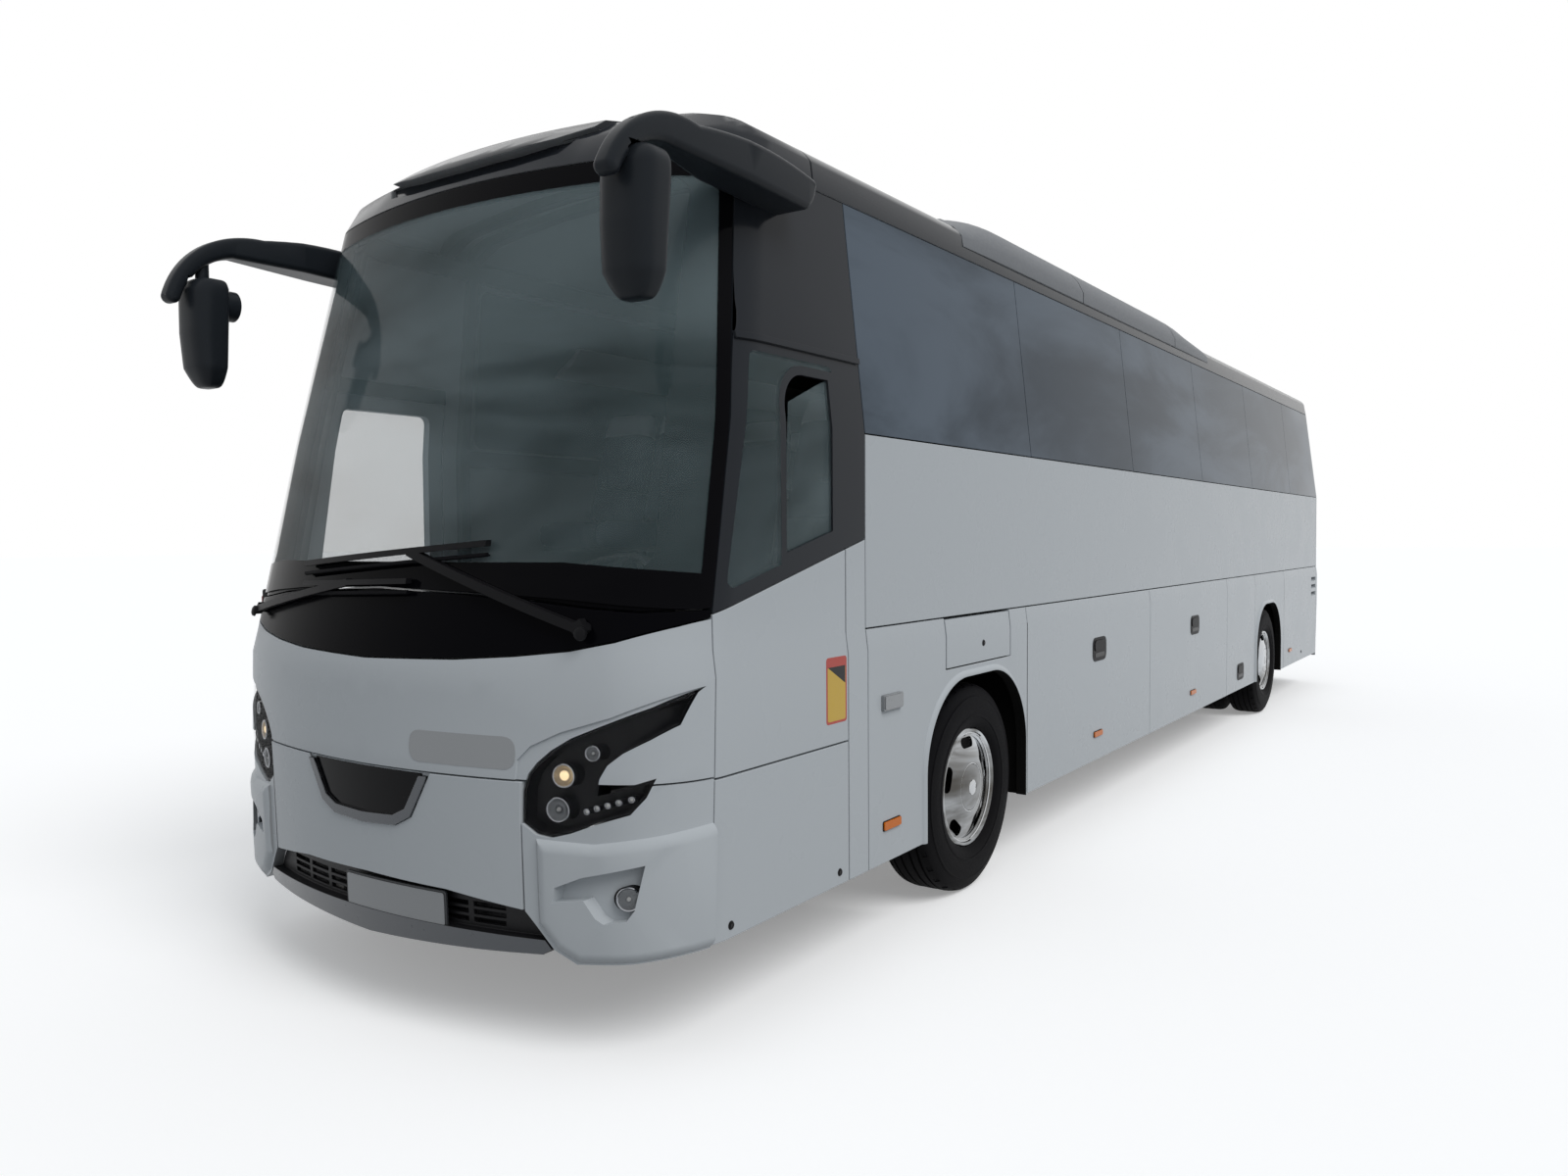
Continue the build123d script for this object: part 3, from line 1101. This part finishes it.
# outriggers with a post behind the fixed panel of the left side
for post_y, arm_top in ((SEAM_3 + 60, LOW_RAIL_TOP), (SEAM_4 - 60, REAR_RAIL_TOP)):
    reach = SIDE_X - SKIN
    chassis = chassis + box(RAIL_IN, reach, post_y - 25, post_y + 25, arm_top - 60, arm_top)
    chassis = chassis + box(reach - 40, reach, post_y - 25, post_y + 25, LOW_RAIL_TOP - 60, 1290)
    chassis = chassis + box(reach - 120, reach, post_y - 25, post_y + 25, 1250, 1290)
    chassis = chassis + box(reach - 120, reach - 80, post_y - 25, post_y + 25, 1250, FLOOR_TOP - PLATE)
save("chassis_frame", [chassis])

# ---------------------------------------------------------------- cab and seats
DASH_TOP = 1580
dash = side_cut(
    [
        (NOSE_Y + 200, CAB_FLOOR_TOP),
        (NOSE_Y + 200, DASH_TOP),
        (FRONT_AXLE_Y - 2150, DASH_TOP + 15),
        (FRONT_AXLE_Y - 1990, DASH_TOP - 60),
        (FRONT_AXLE_Y - 2010, 1400),
        (FRONT_AXLE_Y - 2160, CAB_FLOOR_TOP),
    ],
    -480,
    SIDE_X - 120,
) & lamp_room
save("dashboard", [dash])
WHEEL_CENTRE = (560, FRONT_AXLE_Y - 1960, 1600)
steering = Torus(225, 18)
steering = steering + Box(60, 410, 24) + Cylinder(60, 40)
column = Pos(0, 0, -200) * Cylinder(28, 400)
steering = Pos(*WHEEL_CENTRE) * Rot(28, 0, 0) * (steering + column)
steering = steering - dash - box(0, WIDTH, NOSE_Y, FRONT_AXLE_Y, 0, CAB_FLOOR_TOP)
save("steering_wheel", [steering])


def seat(x, y, width, floor_z, high):
    legs = box(x - width / 2 + 60, x + width / 2 - 60, y + 60, y + 380, floor_z, floor_z + 300)
    pad = box(x - width / 2, x + width / 2, y, y + 480, floor_z + 300, floor_z + 430)
    back = side_cut(
        [
            (y + 400, floor_z + 430),
            (y + 500, floor_z + 430),
            (y + 680, floor_z + high),
            (y + 590, floor_z + high),
        ],
        x - width / 2,
        x + width / 2,
    )
    return legs + pad + back


save("driver_seat", [seat(WHEEL_CENTRE[0], FRONT_AXLE_Y - 1620, 500, CAB_FLOOR_TOP, 1250)])
SEAT_PITCH = 800
SEAT_ROWS = 12
SEAT_WALL_GAP = 60
SEAT_PAIR = 850
SEAT_FRONT = FRONT_AXLE_Y - 700
seat_x = SIDE_X - SKIN - FRAME_DEPTH - SEAT_WALL_GAP - SEAT_PAIR / 2
seats = []
for row in range(SEAT_ROWS):
    seat_y = SEAT_FRONT + SEAT_PITCH * row
    seats.append(seat(seat_x, seat_y, SEAT_PAIR, FLOOR_TOP, 1120))
    if seat_y + 700 < mid_well[0] - 60 or seat_y > mid_well[1] + 60:
        seats.append(seat(-seat_x, seat_y, SEAT_PAIR, FLOOR_TOP, 1120))
save("passenger_seats", seats)

# ---------------------------------------------------------------- engine and axles
engine = box(-RAIL_IN, RAIL_IN, SEAM_5 + 350, TAIL_Y - 450, 480, 1250)
save("engine", [engine])
KING_X = SIDE_X - KINGPIN_IN
BEAM_TOP = AXLE_Z - 40
fork_top = AXLE_Z + 150
fork_low = AXLE_Z - 130
front_axle = box(-KING_X, KING_X, FRONT_AXLE_Y - 60, FRONT_AXLE_Y + 60, BEAM_TOP - 100, BEAM_TOP)
for way in (-1, 1):
    x = way * KING_X
    front_axle = front_axle + upright(x, FRONT_AXLE_Y, BEAM_TOP - 100, BEAM_TOP, 62)
    bellows_x = way * (RAIL_IN + RAIL_WIDTH / 2)
    front_axle = front_axle + upright(bellows_x, FRONT_AXLE_Y, BEAM_TOP, HIGH_RAIL_TOP - RAIL_DEPTH, 75)
front_axle = front_axle - upright(KING_X, FRONT_AXLE_Y, 0, 1000, KINGPIN_RADIUS + PIN_FIT)
front_axle = front_axle - upright(-KING_X, FRONT_AXLE_Y, 0, 1000, KINGPIN_RADIUS + PIN_FIT)
save("front_axle", [front_axle])

knuckle = upright(KING_X, FRONT_AXLE_Y, BEAM_TOP - 150, BEAM_TOP + 60, KINGPIN_RADIUS)
knuckle = knuckle + upright(KING_X, FRONT_AXLE_Y, BEAM_TOP + 2, BEAM_TOP + 90, 62)
knuckle = knuckle + upright(KING_X, FRONT_AXLE_Y, BEAM_TOP - 160, BEAM_TOP - 102, 58)
knuckle = knuckle + across(KING_X, WHEEL_X + 60, FRONT_AXLE_Y, AXLE_Z, SPINDLE_RADIUS)
knuckle = knuckle + across(WHEEL_X - 120, WHEEL_X - 60, FRONT_AXLE_Y, AXLE_Z, 105)
kingpin = upright(KING_X, FRONT_AXLE_Y, 0, 1000, KINGPIN_RADIUS)
knuckle = knuckle - (upright(KING_X, FRONT_AXLE_Y, BEAM_TOP - 101, BEAM_TOP + 1, 66) - kingpin)
save("knuckle_left", [knuckle])
save("knuckle_right", [knuckle.mirror(Plane.YZ)])

rear_axle = across(-WHEEL_X + TWIN_SPACING + 150, WHEEL_X - TWIN_SPACING - 150, REAR_AXLE_Y, AXLE_Z, 95)
rear_axle = rear_axle + across(-150, 150, REAR_AXLE_Y, AXLE_Z, 150) + across(-85, 85, REAR_AXLE_Y, AXLE_Z, 205)
rear_axle = rear_axle + across(-WHEEL_X - 60, WHEEL_X + 60, REAR_AXLE_Y, AXLE_Z, SPINDLE_RADIUS)
for way in (-1, 1):
    x = way * (RAIL_IN + RAIL_WIDTH / 2)
    rail_low = REAR_RAIL_TOP - RAIL_DEPTH
    rear_axle = rear_axle + box(x - 40, x + 40, REAR_AXLE_Y - 200, REAR_AXLE_Y + 200, AXLE_Z + 60, rail_low)
save("rear_axle", [rear_axle])

# ---------------------------------------------------------------- wheels
def tyre(x):
    # a turned section: bead, sidewall bulge and tread, across and radius
    half = TYRE_WIDTH / 2
    outline = [
        (-half + 30, RIM_RADIUS),
        (-half, RIM_RADIUS + 110),
        (-half + 12, TYRE_RADIUS - 50),
        (-half + 30, TYRE_RADIUS - 8),
        (-half + 60, TYRE_RADIUS),
        (half - 60, TYRE_RADIUS),
        (half - 30, TYRE_RADIUS - 8),
        (half - 12, TYRE_RADIUS - 50),
        (half, RIM_RADIUS + 110),
        (half - 30, RIM_RADIUS),
    ]
    ring = revolve(make_face(Polyline(*outline, close=True)), axis=Axis.X)
    return Pos(x, 0, AXLE_Z) * ring


def rim(x, facing):
    # a steel wheel behind a polished cover that swells outwards, with five oval windows
    half = TYRE_WIDTH / 2 - 30
    wall = 14
    cover = 12
    # across from the wheel's middle, radius
    face = (
        (half + 8, RIM_RADIUS - 10),
        (half + 6, RIM_RADIUS - 22),
        (half - 8, RIM_RADIUS - 30),
        (half - 14, RIM_RADIUS - 42),
        (half + 4, 190),
        (half + 16, 150),
        (half + 20, 124),
        (half + 14, 118),
        (half + 20, 112),
        (half + 25, 60),
        (half + 26, 0),
    )
    outline = [(-half, RIM_RADIUS - 0.3), (half, RIM_RADIUS - 0.3)] + list(face)
    outline += [(across_x - cover, radius) for across_x, radius in reversed(face[3:])]
    outline += [(half - 60, RIM_RADIUS - 46), (-half, RIM_RADIUS - wall)]
    dish = revolve(make_face(Polyline(*outline, close=True)), axis=Axis.X)
    slot = extrude(Plane.YZ * SlotOverall(128, 52), amount=90, both=True)
    for number in range(5):
        dish = dish - Rot(72 * number, 0, 0) * (Pos(half, 0, 224) * slot)
    if facing < 0:
        dish = dish.mirror(Plane.YZ)
    return Pos(x, 0, AXLE_Z) * dish


def hub(x0, x1):
    ring = across(x0, x1, 0, AXLE_Z, HUB_RADIUS)
    return ring - across(x0 - 300, WHEEL_X + 62, 0, AXLE_Z, SPINDLE_RADIUS + PIN_FIT)


DISH_BACK = TYRE_WIDTH / 2 - 30 + 18
front_tyre = Pos(0, FRONT_AXLE_Y, 0) * tyre(WHEEL_X)
front_rim = Pos(0, FRONT_AXLE_Y, 0) * (rim(WHEEL_X, 1) + hub(WHEEL_X - 54, WHEEL_X + DISH_BACK))
save("front_tyre_left", [front_tyre])
save("front_tyre_right", [front_tyre.mirror(Plane.YZ)])
save("front_rim_left", [front_rim])
save("front_rim_right", [front_rim.mirror(Plane.YZ)])
rear_tyres = [Pos(0, REAR_AXLE_Y, 0) * tyre(WHEEL_X), Pos(0, REAR_AXLE_Y, 0) * tyre(WHEEL_X - TWIN_SPACING)]
inner_x = WHEEL_X - TWIN_SPACING
rear_rim = rim(WHEEL_X, 1) + rim(inner_x, -1)
rear_rim = rear_rim - across(inner_x - 300, inner_x, 0, AXLE_Z, SPINDLE_RADIUS + PIN_FIT)
rear_rim = rear_rim + hub(inner_x - DISH_BACK, WHEEL_X + DISH_BACK)
rear_rims = [Pos(0, REAR_AXLE_Y, 0) * rear_rim]
save("rear_tyres_left", rear_tyres)
save("rear_tyres_right", [piece.mirror(Plane.YZ) for piece in rear_tyres])
save("rear_rims_left", rear_rims)
save("rear_rims_right", [piece.mirror(Plane.YZ) for piece in rear_rims])

for name, count in SAVED:
    print(name, count)
